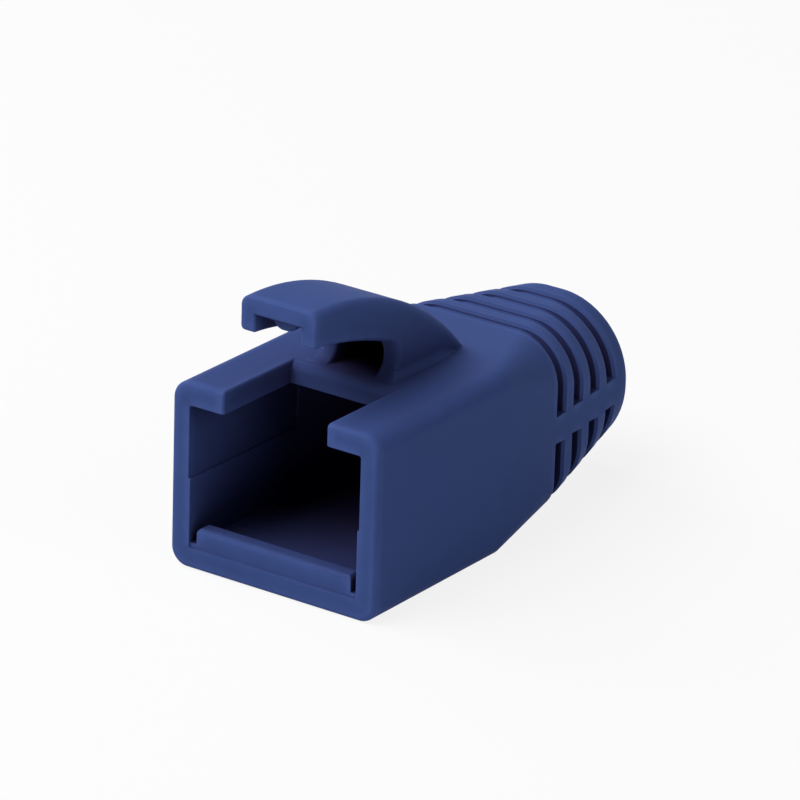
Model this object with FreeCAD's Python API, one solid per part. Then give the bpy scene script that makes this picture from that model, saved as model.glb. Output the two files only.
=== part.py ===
import FreeCAD, Part
import math
import os

# Cable boot that slides over a modular network plug: one moulded piece of soft plastic.
# It is drawn with Y counted from the mouth face, and moved at the end so that the origin
# is the middle of the underside, half-way along. X is across, Y runs from the mouth to the
# cable end, Z is up. Lengths are in millimetres, angles in degrees.

# Mouth, the box-shaped end that takes the plug
body_width = 14.6
body_height = 11.55
mouth_length = 12.7
edge_radius = 1.15
rim_radius = 0.3
side_wall = 1.25
floor_wall = 1.3
deck_wall = 1.4
cavity_depth = 10.5
cavity_corner = 0.15
parting_height = 5.6
parting_step = 0.12

# Retaining rib across the floor, just inside the mouth
rib_height = 1.3
rib_sill_height = 0.3
rib_thickness = 1.17
rib_setback = 0.13
rib_end_gap = 0.42
rib_edge_radius = 0.35

# Slot in the deck that lets the plug's latch rise
slot_width = 7.25
slot_length = 6.5
slot_edge_radius = 0.2
slot_rear_radius = 0.6

# Neck and ringed collar
neck_length = 7.1
collar_length = 8.9
waist_width = 12.56
waist_drop = 0.38
waist_rise = 0.35
waist_upper_radius = 2.95
waist_lower_radius = 1.9
end_width = 10.58
end_height = 9.88
end_flat = 0.05
end_edge_radius = 0.35
axis_height = 5.58

# Flex grooves round the collar, bridged by a bar on each side
groove_count = 4
groove_pitch = 2.12
groove_width = 1.0
groove_depth = 1.0
groove_top_depth = 0.28
groove_bevel = 0.18
end_land = 1.75
bar_height = 1.73

# Cable passage
bore_radius = 3.25
bore_length = 11.5
bore_bevel = 0.25

# Hood over the latch, rooted behind the slot
hood_setback = 0.12
hood_width = 5.36
hood_height = 6.27
hood_roof = 1.0
hood_wall = 1.1
hood_level = 0.6
hood_length = 15.0
hood_root_angle = 48.0
crown_reach = 5.8
root_reach = 4.8
hood_edge_radius = 0.62
hood_lip_radius = 0.3
hood_inner_radius = 0.2
hood_front_radius = 0.2
leg_clearance = 4.12
leg_fall_angle = 3.5
notch_depth = 8.1
notch_radius = 1.25
notch_turn = 70.0
notch_reach = 2.4
hood_flare = 0.55
hood_flare_end = 0.05
hood_sink = 0.9
hollow_share = 0.7
roof_spans = 6

# Nub under the hood that bears on the latch
nub_width = 1.7
nub_drop = 0.82
nub_length = 2.6
nub_setback = 0.7
nub_edge_radius = 0.7

# How far a cutting or joining shape runs past the surface that it meets
overrun = 0.6

# Shortest straight run kept between two corner arcs, and how deep a flare is let in
least_flat = 0.04
flare_sink = 0.02

# Largest fillet radius, as a share of the wall that carries it
fillet_share = 0.45

waist_y = mouth_length + neck_length
body_length = waist_y + collar_length
cavity_width = body_width - 2 * side_wall
cavity_roof = body_height - deck_wall
bore_start = body_length - bore_length
hood_half = hood_width / 2


def point(x, y, z):
    return FreeCAD.Vector(x, y, z)


def polar(centre, radius, angle):
    """Point in the YZ plane at an angle from +Y towards +Z."""
    turn = math.radians(angle)
    return centre + point(0, radius * math.cos(turn), radius * math.sin(turn))


def bezier(poles):
    curve = Part.BezierCurve()
    curve.setPoles(poles)
    return curve


def line(a, b):
    return Part.makeLine(a, b)


def arc(a, middle, b):
    return Part.Arc(a, middle, b).toShape()


def block(x0, x1, y0, y1, z0, z1):
    return Part.makeBox(x1 - x0, y1 - y0, z1 - z0, point(x0, y0, z0))


def rounded_wire(y, half_width, bottom, top, lower_radius, upper_radius):
    """Closed cross-section at station y with its own radius below and above."""
    room = (min(2 * half_width, top - bottom) - least_flat) / 2
    low = min(lower_radius, room)
    high = min(upper_radius, room)
    corners = [
        (half_width - high, top - high, high, 0),
        (high - half_width, top - high, high, 90),
        (low - half_width, bottom + low, low, 180),
        (half_width - low, bottom + low, low, 270),
    ]
    arcs = []
    for x, z, radius, start in corners:
        ends = []
        for angle in (start, start + 45, start + 90):
            turn = math.radians(angle)
            ends.append(point(x + radius * math.cos(turn), y, z + radius * math.sin(turn)))
        arcs.append(ends)
    edges = []
    for index, ends in enumerate(arcs):
        following = arcs[(index + 1) % len(arcs)]
        edges.append(arc(*ends))
        edges.append(line(ends[2], following[0]))
    return Part.Wire(edges)


def sections(inset=0.0, top_inset=None):
    """Stations of the neck and collar: y, half width, bottom, top, lower and upper radius.

    All sides are drawn in by inset, and the top by top_inset where that is given.
    """
    if top_inset is None:
        top_inset = inset
    corner_inset = (inset + top_inset) / 2
    mouth_radius = max(edge_radius - inset, least_flat)
    end_radius = min(end_width, end_height) / 2 - end_flat / 2
    return [
        (
            mouth_length,
            body_width / 2 - inset,
            inset,
            body_height - top_inset,
            mouth_radius,
            mouth_radius,
        ),
        (
            waist_y,
            waist_width / 2 - inset,
            waist_rise + inset,
            body_height - waist_drop - top_inset,
            waist_lower_radius - inset,
            waist_upper_radius - corner_inset,
        ),
        (
            body_length,
            end_width / 2 - inset,
            axis_height - end_height / 2 + inset,
            axis_height + end_height / 2 - top_inset,
            end_radius - inset,
            end_radius - corner_inset,
        ),
    ]


def wire_at(y, inset=0.0):
    """Section at any station of the neck or collar, blended evenly between its neighbours."""
    mouth, waist, end = sections(inset)
    before, after = (mouth, waist) if y <= waist_y else (waist, end)
    share = (y - before[0]) / (after[0] - before[0])
    blend = [a + (b - a) * share for a, b in zip(before[1:], after[1:])]
    return rounded_wire(y, *blend)


def tapered_solid(inset=0.0, top_inset=None):
    """Neck and collar, from the mouth's end to the cable end, drawn in as its sections are."""
    wires = [rounded_wire(*section) for section in sections(inset, top_inset)]
    return Part.makeLoft(wires, True, True)


def edges_at(shape, y, tolerance=1e-4):
    """Edges that lie whole in the plane at station y."""
    found = []
    for edge in shape.Edges:
        box = edge.BoundBox
        if abs(box.YMin - y) < tolerance and abs(box.YMax - y) < tolerance:
            found.append(edge)
    return found


def outer_body():
    rim = rounded_wire(0, body_width / 2, 0, body_height, edge_radius, edge_radius)
    front = Part.Face(rim).extrude(point(0, mouth_length, 0))
    front = front.makeFillet(rim_radius, edges_at(front, 0))
    rear = tapered_solid()
    rear = rear.makeFillet(end_edge_radius, edges_at(rear, body_length))
    return front.fuse(rear)


def plug_cavity():
    """Cutting shapes of the plug pocket, its funnel, the cable bore and the bore's bevel.

    The pocket is a hair narrower below the height at which the mould's two cores met.
    """
    half = cavity_width / 2
    lower_half = half - parting_step
    corner = cavity_corner
    pocket = []
    for side_reach, top in ((lower_half, cavity_roof), (half, cavity_roof)):
        mouth = rounded_wire(-overrun, side_reach, floor_wall, top, corner, corner)
        pocket.append(Part.Face(mouth).extrude(point(0, cavity_depth + overrun, 0)))
    above = block(-body_width, body_width, -overrun, body_length, parting_height, body_height)
    pocket[1] = pocket[1].common(above)
    wide = rounded_wire(cavity_depth, lower_half, floor_wall, cavity_roof, corner, corner)
    narrow = rounded_wire(
        bore_start,
        bore_radius,
        axis_height - bore_radius,
        axis_height + bore_radius,
        bore_radius,
        bore_radius,
    )
    funnel = Part.makeLoft([wide, narrow], True, True)
    bore = Part.makeCylinder(
        bore_radius, bore_length + overrun, point(0, bore_start, axis_height), point(0, 1, 0)
    )
    flare = Part.makeCone(
        bore_radius,
        bore_radius + bore_bevel + overrun,
        bore_bevel + overrun,
        point(0, body_length - bore_bevel, axis_height),
        point(0, 1, 0),
    )
    return pocket + [funnel, bore, flare]


def retaining_rib():
    """Bar with a gap at each end, on a low sill that runs from wall to wall."""
    half = cavity_width / 2 - parting_step - rib_end_gap
    rear = rib_setback + rib_thickness
    rib = block(
        -half,
        half,
        rib_setback,
        rear,
        floor_wall,
        floor_wall + rib_height,
    )
    top = [edge for edge in rib.Edges if edge.BoundBox.ZMin > floor_wall + rib_height / 2]
    rib = rib.makeFillet(min(rib_edge_radius, fillet_share * rib_thickness), top)
    sill_half = cavity_width / 2
    sill_top = floor_wall + rib_sill_height
    sill = block(-sill_half, sill_half, rib_setback, rear, floor_wall / 2, sill_top)
    return rib.fuse(sill)


def latch_slot():
    return block(
        -slot_width / 2,
        slot_width / 2,
        -overrun,
        slot_length,
        cavity_roof - overrun,
        body_height + overrun,
    )


def slot_top_edges(shape, rear):
    """The slot's upper edges, either the one across its rear or the two along its sides."""
    found = []
    for edge in shape.Edges:
        box = edge.BoundBox
        flat = box.ZMin > body_height - 1e-4 and box.ZMax < body_height + 1e-4
        inside = box.XMin > -slot_width / 2 - 1e-4 and box.XMax < slot_width / 2 + 1e-4
        across = box.XLength > slot_width / 2
        if flat and inside and box.YMax < slot_length + 1e-4 and across == rear:
            found.append(edge)
    return found


def groove_cutters():
    """Each groove is shallow on top, cut square at its front and bevelled at the next ring."""
    core = tapered_solid(groove_depth, groove_top_depth)
    reach = body_width
    cutters = []
    for index in range(groove_count):
        rear = body_length - end_land - (groove_count - 1 - index) * groove_pitch
        front = rear - groove_width
        slab = block(-reach, reach, front, rear, -reach, 2 * body_height)
        band = slab.cut(core)
        ring_slab = block(-reach, reach, rear, rear + groove_bevel, -reach, 2 * body_height)
        bevel = ring_slab.cut(bevel_core(rear))
        for side in (-1, 1):
            inner = side * end_width / 4
            outer = side * reach
            bar = block(
                min(inner, outer),
                max(inner, outer),
                front - overrun,
                rear + groove_bevel + overrun,
                axis_height - bar_height / 2,
                axis_height + bar_height / 2,
            )
            band = band.cut(bar)
            bevel = bevel.cut(bar)
        cutters += [band, bevel]
    return cutters


def bevel_core(rear):
    """What stays where a ring's front edge is bevelled back over the groove_bevel length."""
    wires = [wire_at(rear, groove_bevel), wire_at(rear + groove_bevel)]
    return Part.makeLoft(wires, True, True)


def crown_poles(deck):
    """Control points of the hood's falling back, from its level top down to the deck."""
    start = point(0, hood_setback + hood_level, deck + hood_height)
    foot = point(0, hood_setback + hood_length, deck)
    second = start + point(0, crown_reach, 0)
    third = polar(foot, root_reach, 180 - hood_root_angle)
    return [start, second, third, foot]


def hood_outline():
    """Side outline of the hood in three runs: its back, its root below the deck, its underside."""
    deck = body_height
    crown = crown_poles(deck)
    tip = point(0, hood_setback, deck + hood_height)
    toe = polar(crown[3], hood_sink / math.sin(math.radians(hood_root_angle)), -hood_root_angle)
    heel_y = hood_setback + notch_depth - notch_radius
    centre = point(0, heel_y, deck + notch_radius)
    heel = point(0, heel_y, deck)
    turn = polar(centre, notch_radius, notch_turn)
    turn_pole = polar(turn, notch_reach, notch_turn + 90)
    leg = point(0, hood_setback, deck + leg_clearance)
    leg_pole = polar(leg, notch_reach, -leg_fall_angle)
    back = [line(tip, crown[0]), bezier(crown).toShape()]
    root = [
        line(crown[3], toe),
        line(toe, point(0, heel_y, toe.z)),
        line(point(0, heel_y, toe.z), heel),
    ]
    underside = [
        arc(heel, polar(centre, notch_radius, (notch_turn - 90) / 2), turn),
        bezier([turn, turn_pole, leg_pole, leg]).toShape(),
    ]
    return back, root, underside, line(leg, tip)


def hood_slab(half_width):
    back, root, underside, nose = hood_outline()
    wire = Part.Wire(back + root + underside + [nose])
    wire.translate(point(-half_width, 0, 0))
    return Part.Face(wire).extrude(point(2 * half_width, 0, 0))


def edges_along(shape, runs):
    """Edges on the shape's sides whose middle lies on one of the given outline runs."""
    found = []
    for edge in shape.Edges:
        if edge.BoundBox.XLength > 1e-4:
            continue
        middle = edge.valueAt((edge.FirstParameter + edge.LastParameter) / 2)
        mark = Part.Vertex(0, middle.y, middle.z)
        if min(mark.distToShape(run)[0] for run in runs) < 1e-4:
            found.append(edge)
    return found


def hood_hollow():
    """Space between the hood's side walls, under a roof of even thickness."""
    crown = bezier(crown_poles(body_height))
    roof = [point(0, -overrun, body_height + hood_height - hood_roof)]
    for index in range(roof_spans + 1):
        share = hollow_share * index / roof_spans
        here = crown.value(share)
        along = crown.tangent(share)[0]
        roof.append(here + point(0, along.z, -along.y) * hood_roof)
    curve = Part.BSplineCurve()
    curve.interpolate(roof[1:])
    end = roof[-1]
    floor = body_height
    edges = [
        line(roof[0], roof[1]),
        curve.toShape(),
        line(end, point(0, end.y, floor)),
        line(point(0, end.y, floor), point(0, -overrun, floor)),
        line(point(0, -overrun, floor), roof[0]),
    ]
    half = hood_half - hood_wall
    wire = Part.Wire(edges)
    wire.translate(point(-half, 0, 0))
    return Part.Face(wire).extrude(point(2 * half, 0, 0))


def hood_nub():
    top = body_height + hood_height - hood_roof
    nub = block(
        -nub_width / 2,
        nub_width / 2,
        hood_setback + nub_setback,
        hood_setback + nub_setback + nub_length,
        top - nub_drop,
        top + hood_roof / 2,
    )
    low = [edge for edge in nub.Edges if edge.BoundBox.ZMax < top - nub_drop + 1e-4]
    sides = [edge for edge in low if abs(edge.BoundBox.XMax - edge.BoundBox.XMin) < 1e-4]
    return nub.makeFillet(min(nub_edge_radius, fillet_share * nub_width), sides)


def hood_flares():
    """Concave fillets where the hood's sides run into the deck.

    They fade out where the rounding of the hood's back comes down to the deck.
    """
    start = hood_setback + notch_depth - 2 * notch_radius
    rounding = (hood_edge_radius + hood_flare_end) / math.sin(math.radians(hood_root_angle))
    fade = hood_setback + hood_length - rounding
    slope = waist_drop / neck_length
    stations = [
        (start, body_height, hood_flare),
        (mouth_length, body_height, hood_flare),
        (fade, body_height - slope * (fade - mouth_length), hood_flare_end),
    ]
    wide = hood_slab(hood_half + hood_flare)
    flares = []
    for side in (-1, 1):
        wires = []
        for y, deck, radius in stations:
            base = deck - flare_sink
            wall = side * hood_half
            rim = side * (hood_half + radius)
            inner = wall - side * hood_wall / 2
            middle = math.sin(math.radians(45)) * radius
            bend = point(rim - side * middle, y, base + radius - middle)
            corners = [
                point(rim, y, base),
                point(wall, y, base + radius),
                point(inner, y, base + radius),
                point(inner, y, base - overrun),
                point(rim, y, base - overrun),
            ]
            edges = [arc(corners[0], bend, corners[1])]
            for first, second in zip(corners[1:], corners[2:] + corners[:1]):
                edges.append(line(first, second))
            wires.append(Part.Wire(edges))
        strip = Part.makeLoft(wires, True, True)
        flares.append(strip.common(wide))
    return flares


def hood():
    back, _, underside, _ = hood_outline()
    shell = hood_slab(hood_half)
    shell = shell.makeFillet(hood_edge_radius, edges_along(shell, back))
    shell = shell.makeFillet(hood_lip_radius, edges_along(shell, underside))
    shell = shell.makeFillet(hood_front_radius, edges_at(shell, hood_setback))
    shell = shell.cut(hood_hollow())
    inner = [e for e in edges_along(shell, underside) if abs(e.BoundBox.XMax) < hood_half - hood_wall / 2]
    return shell.makeFillet(hood_inner_radius, inner)


def build_boot():
    body = outer_body()
    for cutter in plug_cavity() + [latch_slot()]:
        body = body.cut(cutter)
    body = body.makeFillet(slot_rear_radius, slot_top_edges(body, True))
    body = body.makeFillet(slot_edge_radius, slot_top_edges(body, False))
    for cutter in groove_cutters():
        body = body.cut(cutter)
    pieces = [retaining_rib(), hood(), hood_nub()] + hood_flares()
    for piece in pieces:
        body = body.fuse(piece)
    return body.removeSplitter()


boot = build_boot()
boot.translate(point(0, -body_length / 2, 0))
print("solids", len(boot.Solids), "valid", boot.isValid(), "volume", round(boot.Volume, 2))
box = boot.BoundBox
print("size", round(box.XLength, 2), round(box.YLength, 2), round(box.ZLength, 2))
os.makedirs("parts", exist_ok=True)
boot.exportStep("parts/strain_relief_boot.step")
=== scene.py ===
import math
from itertools import combinations

import bmesh
import bpy
from mathutils import Matrix, Vector


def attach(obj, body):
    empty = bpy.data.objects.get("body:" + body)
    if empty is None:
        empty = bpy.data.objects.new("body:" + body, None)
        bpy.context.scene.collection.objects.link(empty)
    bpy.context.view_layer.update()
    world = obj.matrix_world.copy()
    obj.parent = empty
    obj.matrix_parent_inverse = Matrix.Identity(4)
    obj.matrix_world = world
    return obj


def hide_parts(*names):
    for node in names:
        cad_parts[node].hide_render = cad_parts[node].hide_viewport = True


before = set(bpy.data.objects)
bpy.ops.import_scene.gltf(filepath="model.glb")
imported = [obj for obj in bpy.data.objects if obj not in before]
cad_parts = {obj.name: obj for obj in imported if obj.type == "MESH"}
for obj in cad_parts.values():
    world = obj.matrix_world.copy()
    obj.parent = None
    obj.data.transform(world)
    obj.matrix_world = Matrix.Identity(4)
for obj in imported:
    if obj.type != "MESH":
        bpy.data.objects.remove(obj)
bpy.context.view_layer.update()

# The boot is one piece of soft blue plastic, injection moulded: a box-shaped mouth for the
# plug, a hood over its latch and a ringed collar round the cable. Every edge that the mould
# leaves sharp is rounded by a hair, as on any soft moulding.
BOOT_NODE = "strain_relief_boot"
MERGE_DISTANCE = 1e-6
FLAT_ANGLE = math.radians(0.6)
CREASE_ANGLE = math.radians(30)
SHARP_ANGLE = math.radians(60)
NARROW_ANGLE = math.radians(30)
EDGE_ROUND = 0.00007
EDGE_ROUND_STEPS = 2


def left_sharp(edge):
    """Whether the mould leaves this edge sharp."""
    return edge.calc_face_angle(0) > SHARP_ANGLE


def narrow_meeting(corner):
    """Whether two sharp edges run into this corner side by side, with no room to round both."""
    ways = [edge.other_vert(corner).co - corner.co for edge in corner.link_edges if left_sharp(edge)]
    return any(one.angle(other) < NARROW_ANGLE for one, other in combinations(ways, 2))


def set_out(name, data):
    """A new object in the scene that shows this mesh, lamp or camera."""
    thing = bpy.data.objects.new(name, data)
    bpy.context.scene.collection.objects.link(thing)
    return thing


def moulded_body(source, name):
    mesh = source.data.copy()
    mesh.transform(source.matrix_world)
    mesh.materials.clear()
    shape = bmesh.new()
    shape.from_mesh(mesh)
    bmesh.ops.remove_doubles(shape, verts=shape.verts, dist=MERGE_DISTANCE)
    bmesh.ops.dissolve_limit(shape, angle_limit=FLAT_ANGLE, verts=shape.verts, edges=shape.edges)
    narrow = {corner for corner in shape.verts if narrow_meeting(corner)}
    bmesh.ops.bevel(
        shape,
        geom=[edge for edge in shape.edges if left_sharp(edge) and narrow.isdisjoint(edge.verts)],
        offset=EDGE_ROUND,
        offset_type="OFFSET",
        segments=EDGE_ROUND_STEPS,
        profile=0.5,
        affect="EDGES",
        clamp_overlap=False,
    )
    bmesh.ops.triangulate(shape, faces=shape.faces)
    for face in shape.faces:
        face.smooth = True
    for edge in shape.edges:
        edge.smooth = edge.calc_face_angle(0) < CREASE_ANGLE
    shape.to_mesh(mesh)
    shape.free()
    body = set_out(name, mesh)
    even_shading = body.modifiers.new("even_shading", "WEIGHTED_NORMAL")
    even_shading.keep_sharp = True
    shaded = body.evaluated_get(bpy.context.evaluated_depsgraph_get())
    finished = bpy.data.meshes.new_from_object(shaded)
    body.modifiers.clear()
    body.data = finished
    return body


# Its skin is the fine satin of spark-eroded mould walls. The blue is through-dyed and a little
# uneven. The outer edges are painted paler, a painted highlight that also stands for finger
# wear, and are made smoother; the recesses are painted deeper and more violet, as painted shade.
BLUE = (0.042, 0.0728, 0.2235)
BLUE_DARKEST = 0.955
BLUE_LIGHTEST = 1.045
# Pale blue for random flecks and for the painted highlight along the outer edges.
FLECK_AND_HIGHLIGHT_BLUE = (0.060, 0.100, 0.300, 1)
# Painted shade: the dark violet that recesses are darkened towards.
PAINTED_SHADE_VIOLET = (0.018, 0.0025, 0.007, 1)
CLOUD_PER_METRE = 160
MOTTLE_PER_METRE = 900
GRAIN_PER_METRE = 5200
GRAIN_HEIGHT = 0.000004
UNEVEN_SPAN = (0.3, 0.7)
ROUGHNESS = (0.59, 0.66)
MOTTLE_ROUGHNESS = (-0.03, 0.03)
FLECK_SPAN = (0.35, 0.65)
FLECK_SHARE = 0.1
CLEARANCE_RAYS = 10
# How far the painted shade in recesses looks for nearby skin, and how steeply it deepens.
RECESS_REACH = 0.012
RECESS_POWER = 0.8
SHEEN_OPENNESS = (0.35, 0.85)
SHEEN_LEVEL = 0.03
# The painted edge highlight, which also stands for wear, and the smoother finish on outer edges.
PALE_EDGE_REACH = 0.0008
PALE_EDGE_CLEARANCE = (0.95, 0.66)
PALE_EDGE_OPENNESS = (0.4, 0.9)
PALE_EDGE_MOTTLE = (0.35, 0.7)
PALE_EDGE_LEAST = 0.6
PALE_EDGE_SHARE = 0.9
RUBBED_SMOOTHER = 0.08


def emptied_nodes(owner):
    """The nodes and links of a material or a room, with nothing in them yet."""
    owner.use_nodes = True
    owner.node_tree.nodes.clear()
    return owner.node_tree.nodes, owner.node_tree.links


def satin_plastic(name):
    material = bpy.data.materials.new(name)
    nodes, links = emptied_nodes(material)
    output = nodes.new("ShaderNodeOutputMaterial")
    skin = nodes.new("ShaderNodeBsdfPrincipled")
    links.new(skin.outputs["BSDF"], output.inputs["Surface"])
    place = nodes.new("ShaderNodeTexCoord").outputs["Object"]

    def feed(socket, value):
        if isinstance(value, bpy.types.NodeSocket):
            links.new(value, socket)
        else:
            socket.default_value = value

    def noise(per_metre, detail):
        node = nodes.new("ShaderNodeTexNoise")
        node.inputs["Scale"].default_value = per_metre
        node.inputs["Detail"].default_value = detail
        links.new(place, node.inputs["Vector"])
        return node.outputs["Fac"]

    def clearance(reach, inside):
        """1 where no skin is within reach, looking out or into the plastic, and less near any."""
        node = nodes.new("ShaderNodeAmbientOcclusion")
        node.samples = CLEARANCE_RAYS
        node.only_local = True
        node.inside = inside
        node.inputs["Distance"].default_value = reach
        return node.outputs["AO"]

    def ramp(value, span, result=(0, 1)):
        """Goes from one end of the result to the other while the value crosses the span."""
        node = nodes.new("ShaderNodeMapRange")
        links.new(value, node.inputs["Value"])
        node.inputs["From Min"].default_value, node.inputs["From Max"].default_value = span
        node.inputs["To Min"].default_value, node.inputs["To Max"].default_value = result
        return node.outputs["Result"]

    def combined(operation, first, second):
        node = nodes.new("ShaderNodeMath")
        node.operation = operation
        feed(node.inputs[0], first)
        feed(node.inputs[1], second)
        return node.outputs[0]

    def mixed(share, first, second):
        """One colour turned into another by a share, through the node's three colour sockets."""
        node = nodes.new("ShaderNodeMix")
        node.data_type = "RGBA"
        for socket, value in ((0, share), (6, first), (7, second)):
            feed(node.inputs[socket], value)
        return node.outputs[2]

    cloud = noise(CLOUD_PER_METRE, detail=3)
    mottle = noise(MOTTLE_PER_METRE, detail=2)
    grain = noise(GRAIN_PER_METRE, detail=2)

    # Openness drives the painted shade in recesses, and also lowers the sheen and the edge paint
    # there.
    openness = combined("POWER", clearance(RECESS_REACH, inside=False), RECESS_POWER)
    # Painted highlight, also standing for wear: outer edges get the pale blue, in patches.
    edge = ramp(clearance(PALE_EDGE_REACH, inside=True), PALE_EDGE_CLEARANCE)
    outer_edge = combined("MULTIPLY", edge, ramp(openness, PALE_EDGE_OPENNESS))
    edge_highlight_and_wear = combined("MULTIPLY", outer_edge, ramp(mottle, PALE_EDGE_MOTTLE, (PALE_EDGE_LEAST, 1)))

    darkest = [*(part * BLUE_DARKEST for part in BLUE), 1]
    lightest = [*(part * BLUE_LIGHTEST for part in BLUE), 1]
    tint = mixed(ramp(cloud, UNEVEN_SPAN), darkest, lightest)
    tint = mixed(ramp(mottle, FLECK_SPAN, (0, FLECK_SHARE)), tint, FLECK_AND_HIGHLIGHT_BLUE)
    tint = mixed(combined("MULTIPLY", edge_highlight_and_wear, PALE_EDGE_SHARE), tint, FLECK_AND_HIGHLIGHT_BLUE)
    # Painted shade: the colour goes towards dark violet where openness is low.
    links.new(mixed(openness, PAINTED_SHADE_VIOLET, tint), skin.inputs["Base Color"])

    mottled = ramp(mottle, UNEVEN_SPAN, MOTTLE_ROUGHNESS)
    rough = combined("ADD", ramp(cloud, UNEVEN_SPAN, ROUGHNESS), mottled)
    smoother = combined("MULTIPLY", edge_highlight_and_wear, RUBBED_SMOOTHER)
    links.new(combined("SUBTRACT", rough, smoother), skin.inputs["Roughness"])
    links.new(ramp(openness, SHEEN_OPENNESS, (0, SHEEN_LEVEL)), skin.inputs["Specular IOR Level"])

    bump = nodes.new("ShaderNodeBump")
    bump.inputs["Distance"].default_value = GRAIN_HEIGHT
    links.new(grain, bump.inputs["Height"])
    links.new(bump.outputs["Normal"], skin.inputs["Normal"])
    return material


boot = moulded_body(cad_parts[BOOT_NODE], "boot")
boot.data.materials.append(satin_plastic("soft_blue_plastic"))
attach(boot, "root")
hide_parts(BOOT_NODE)

# The boot lies on a plain sheet of white paper that fills the view. Most of what the camera
# sees of it is even white, and the rest keeps the boot's soft shadow. The sheet is a hair lower
# than the boot's underside, so that the two faces don't coincide.
PAPER_HALF = 0.6
PAPER_TOP = -0.00001
PAPER_CORNERS = ((-1, -1), (1, -1), (1, 1), (-1, 1))
PAPER_WHITE = 0.82
PAPER_EVEN_SHARE = 0.85


def seen_directly(nodes, links):
    """1 for what the camera sees, also by reflection or through glass, 0 for light on things."""
    path = nodes.new("ShaderNodeLightPath").outputs
    total = path["Is Camera Ray"]
    for ray in ("Is Glossy Ray", "Is Transmission Ray"):
        both = nodes.new("ShaderNodeMath")
        both.operation = "MAXIMUM"
        links.new(total, both.inputs[0])
        links.new(path[ray], both.inputs[1])
        total = both.outputs[0]
    return total


def blended(nodes, links, share, first, second):
    """The first shader where the share is 0 and the second where it is 1."""
    blend = nodes.new("ShaderNodeMixShader")
    for socket, source in enumerate((share, first.outputs[0], second.outputs[0])):
        links.new(source, blend.inputs[socket])
    return blend.outputs["Shader"]


def even_white_paper(name):
    material = bpy.data.materials.new(name)
    nodes, links = emptied_nodes(material)
    output = nodes.new("ShaderNodeOutputMaterial")
    matt = nodes.new("ShaderNodeBsdfDiffuse")
    matt.inputs["Color"].default_value = (PAPER_WHITE, PAPER_WHITE, PAPER_WHITE, 1)
    even = nodes.new("ShaderNodeEmission")
    share = nodes.new("ShaderNodeMath")
    share.operation = "MULTIPLY"
    share.inputs[1].default_value = PAPER_EVEN_SHARE
    links.new(seen_directly(nodes, links), share.inputs[0])
    surface = blended(nodes, links, share.outputs[0], matt, even)
    links.new(surface, output.inputs["Surface"])
    return material


paper_mesh = bpy.data.meshes.new("paper")
corners = [(x * PAPER_HALF, y * PAPER_HALF, PAPER_TOP) for x, y in PAPER_CORNERS]
paper_mesh.from_pydata(corners, [], [(0, 1, 2, 3)])
paper = set_out("paper", paper_mesh)
paper.data.materials.append(even_white_paper("white_paper"))

# The room is white to the camera and in reflections, and sheds no other light on the boot.
# Three round softboxes do: a key high at the front left, a weaker one at the boot's left and
# a weak one at its right.
BOX_DISTANCE = 0.4
BOX_WIDTH = 0.32
BOX_AIM = Vector((0, 0, 0.006))


def white_room(name):
    room = bpy.data.worlds.new(name)
    nodes, links = emptied_nodes(room)
    output = nodes.new("ShaderNodeOutputWorld")
    dark = nodes.new("ShaderNodeBackground")
    dark.inputs["Color"].default_value = (0, 0, 0, 1)
    white = nodes.new("ShaderNodeBackground")
    white.inputs["Color"].default_value = (1, 1, 1, 1)
    surface = blended(nodes, links, seen_directly(nodes, links), dark, white)
    links.new(surface, output.inputs["Surface"])
    return room


def direction(azimuth, elevation):
    """The unit vector towards this azimuth, counted from the mouth's side, and elevation."""
    around, up = math.radians(azimuth), math.radians(elevation)
    level = math.cos(up)
    return Vector((math.sin(around) * level, -math.cos(around) * level, math.sin(up)))


def softbox(name, azimuth, elevation, power):
    lamp = bpy.data.lights.new(name, "AREA")
    lamp.shape = "DISK"
    lamp.size = BOX_WIDTH
    lamp.energy = power
    holder = set_out(name, lamp)
    away = direction(azimuth, elevation)
    holder.location = BOX_AIM + away * BOX_DISTANCE
    holder.rotation_mode = "QUATERNION"
    holder.rotation_quaternion = away.to_track_quat("Z", "Y")


bpy.context.scene.world = white_room("studio")
bpy.context.scene.view_settings.view_transform = "Standard"
softbox("key", azimuth=-30, elevation=55.5, power=1.43)
softbox("left_side", azimuth=-90, elevation=30, power=0.97)
softbox("right_side", azimuth=90, elevation=30, power=0.385)

# The camera stands where the photograph was taken from, with a long lens and a slight roll.
# It looks at a point inside the boot, a little nearer the mouth than its middle.
CAMERA_AZIMUTH = 34.815
CAMERA_ELEVATION = 21.929
CAMERA_ROLL = math.radians(1.753)
CAMERA_DISTANCE = 0.37205
CAMERA_AIM = Vector((0, -0.00235, 0.008))
AIM_RIGHT = 0.000243
AIM_UP = 0.000288
LENS_LENGTH = 286.56
SENSOR_WIDTH = 36
NEAREST = 0.01
FURTHEST = 10

back = direction(CAMERA_AZIMUTH, CAMERA_ELEVATION)
level = Vector((0, 0, 1)).cross(back).normalized()
upright = back.cross(level)
right = level * math.cos(CAMERA_ROLL) + upright * math.sin(CAMERA_ROLL)
top = upright * math.cos(CAMERA_ROLL) - level * math.sin(CAMERA_ROLL)
lens = bpy.data.cameras.new("camera")
lens.lens = LENS_LENGTH
lens.sensor_width = SENSOR_WIDTH
lens.clip_start, lens.clip_end = NEAREST, FURTHEST
camera = set_out("camera", lens)
stand = CAMERA_AIM + right * AIM_RIGHT + top * AIM_UP + back * CAMERA_DISTANCE
camera.matrix_world = Matrix.Translation(stand) @ Matrix((right, top, back)).transposed().to_4x4()
bpy.context.scene.camera = camera
